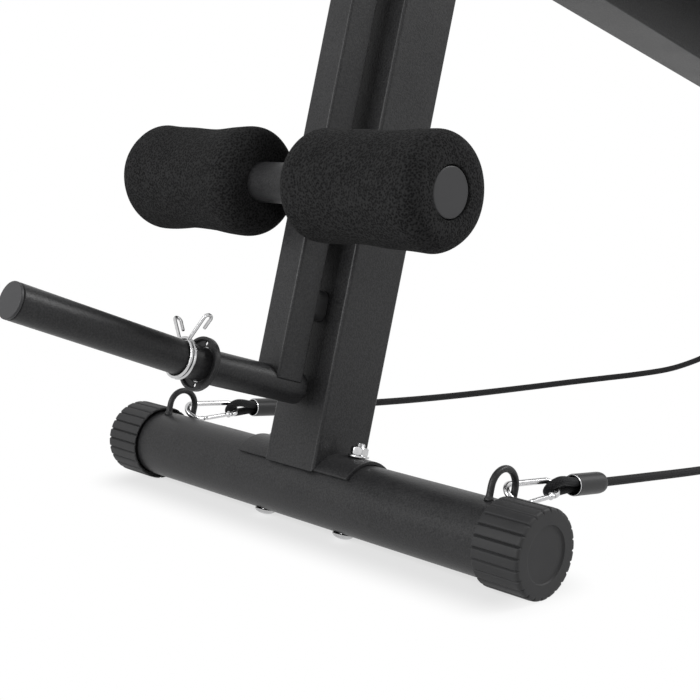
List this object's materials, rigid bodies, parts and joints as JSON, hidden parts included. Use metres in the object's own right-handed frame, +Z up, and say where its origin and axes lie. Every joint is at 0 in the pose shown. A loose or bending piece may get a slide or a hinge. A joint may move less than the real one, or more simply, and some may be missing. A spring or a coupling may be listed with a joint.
{
  "type": "decline sit up bench",
  "caption": "Decline sit-up bench: leaning frame on round base tubes, hinged padded board, foam knee and ankle rollers, leg lever with plate bar, and pull ropes on snap hooks.",
  "frame": {"origin": "on the floor, under the middle of the bench's box, ropes left out", "axes": "+Z up, +X along the base tubes to the user's right when seen from the foot end, +Y from the foot end to the head end"},
  "size_m": [0.495, 1.551, 0.7095],
  "materials": {
    "black_steel": "fine-textured black powder coat, satin",
    "zinc": "bright zinc plate",
    "rubber": "moulded black rubber, matt",
    "plastic": "dark grey moulded plastic",
    "foam": "black cellular foam, open fine grain",
    "vinyl": "black grained vinyl over foam",
    "plywood": "plywood with a dark stain",
    "rope": "black sheathed elastic rope",
    "webbing": "black woven webbing"
  },
  "bodies": {
    "frame": {"beam_end_plug": "plastic", "board_rest": "rubber", "carabiner_left": "zinc", "carabiner_right": "zinc", "eye_loop_left": "black_steel", "eye_loop_right": "black_steel", "front_base_tube": "black_steel", "front_bolt_left": "zinc", "front_bolt_right": "zinc", "front_cap_left": "rubber", "front_cap_right": "rubber", "front_post": "black_steel", "front_saddle": "black_steel", "handle_grip_left": "foam", "handle_grip_right": "foam", "handle_strap_left": "webbing", "handle_strap_right": "webbing", "hinge_ears": "black_steel", "hinge_pin": "zinc", "knee_axle": "black_steel", "knee_cap_left": "plastic", "knee_cap_right": "plastic", "lever_bracket": "black_steel", "lever_bumper": "rubber", "lever_pivot_bolt": "zinc", "main_beam": "black_steel", "post_top_plug": "plastic", "rear_base_tube": "black_steel", "rear_bolt_left": "zinc", "rear_bolt_right": "zinc", "rear_cap_left": "rubber", "rear_cap_right": "rubber", "rear_post": "black_steel", "rear_saddle": "black_steel", "rope_eye_left": "rope", "rope_eye_right": "rope", "rope_left": "rope", "rope_right": "rope", "rope_sleeve_left": "rubber", "rope_sleeve_right": "rubber"},
    "leg_lever": {"lever_tube": "black_steel", "lever_bush": "plastic", "plate_bar": "black_steel", "plate_flange": "black_steel", "plate_bar_plug": "plastic", "ankle_axle": "black_steel", "ankle_cap_right": "plastic", "ankle_cap_left": "plastic"},
    "spring_collar": {"spring_collar": "zinc"},
    "ankle_roller_right": {"ankle_roller_right": "foam"},
    "ankle_roller_left": {"ankle_roller_left": "foam"},
    "knee_roller_right": {"knee_roller_right": "foam"},
    "knee_roller_left": {"knee_roller_left": "foam"},
    "back_rest": {"back_board": "plywood", "back_pad": "vinyl", "hinge_leaf": "black_steel", "selector_plate": "black_steel"},
    "selector_knob": {"selector_knob": "plastic"},
    "carabiner_gate_right": {"carabiner_gate_right": "zinc"},
    "carabiner_gate_left": {"carabiner_gate_left": "zinc"}
  },
  "joints": [
    {"name": "leg_lever_swing", "type": "hinge", "parent": "frame", "child": "leg_lever", "pos_m": [0, -0.39574, 0.60643], "axis": [-1, 0, 0], "range_deg": [0, 110]},
    {"name": "ankle_roller_right_spin", "type": "hinge", "parent": "leg_lever", "child": "ankle_roller_right", "pos_m": [0.1, -0.51785, 0.28804], "axis": [1, 0, 0], "continuous": true},
    {"name": "ankle_roller_left_spin", "type": "hinge", "parent": "leg_lever", "child": "ankle_roller_left", "pos_m": [-0.1, -0.51785, 0.28804], "axis": [1, 0, 0], "continuous": true},
    {"name": "knee_roller_right_spin", "type": "hinge", "parent": "frame", "child": "knee_roller_right", "pos_m": [0.1, -0.31801, 0.66445], "axis": [1, 0, 0], "continuous": true},
    {"name": "knee_roller_left_spin", "type": "hinge", "parent": "frame", "child": "knee_roller_left", "pos_m": [-0.1, -0.31801, 0.66445], "axis": [1, 0, 0], "continuous": true},
    {"name": "spring_collar_slide", "type": "slide", "parent": "leg_lever", "child": "spring_collar", "axis": [0, -0.9258, 0.378], "range_m": [-0.01, 0.135]},
    {"name": "back_rest_tilt", "type": "hinge", "parent": "frame", "child": "back_rest", "pos_m": [0, -0.23876, 0.55889], "axis": [1, 0, 0], "range_deg": [0, 16]},
    {"name": "selector_knob_turn", "type": "hinge", "parent": "frame", "child": "selector_knob", "pos_m": [0, 0.22529, 0.38081], "axis": [1, 0, 0], "continuous": true},
    {"name": "carabiner_gate_right_swing", "type": "hinge", "parent": "frame", "child": "carabiner_gate_right", "pos_m": [0.20052, -0.4294, 0.05392], "axis": [-0.6428, -0.0668, -0.7631], "range_deg": [0, 25], "stiffness_Nm_per_rad": 0.05},
    {"name": "carabiner_gate_left_swing", "type": "hinge", "parent": "frame", "child": "carabiner_gate_left", "pos_m": [-0.18948, -0.4294, 0.05392], "axis": [-0.6428, -0.0668, -0.7631], "range_deg": [0, 25], "stiffness_Nm_per_rad": 0.05}
  ]
}
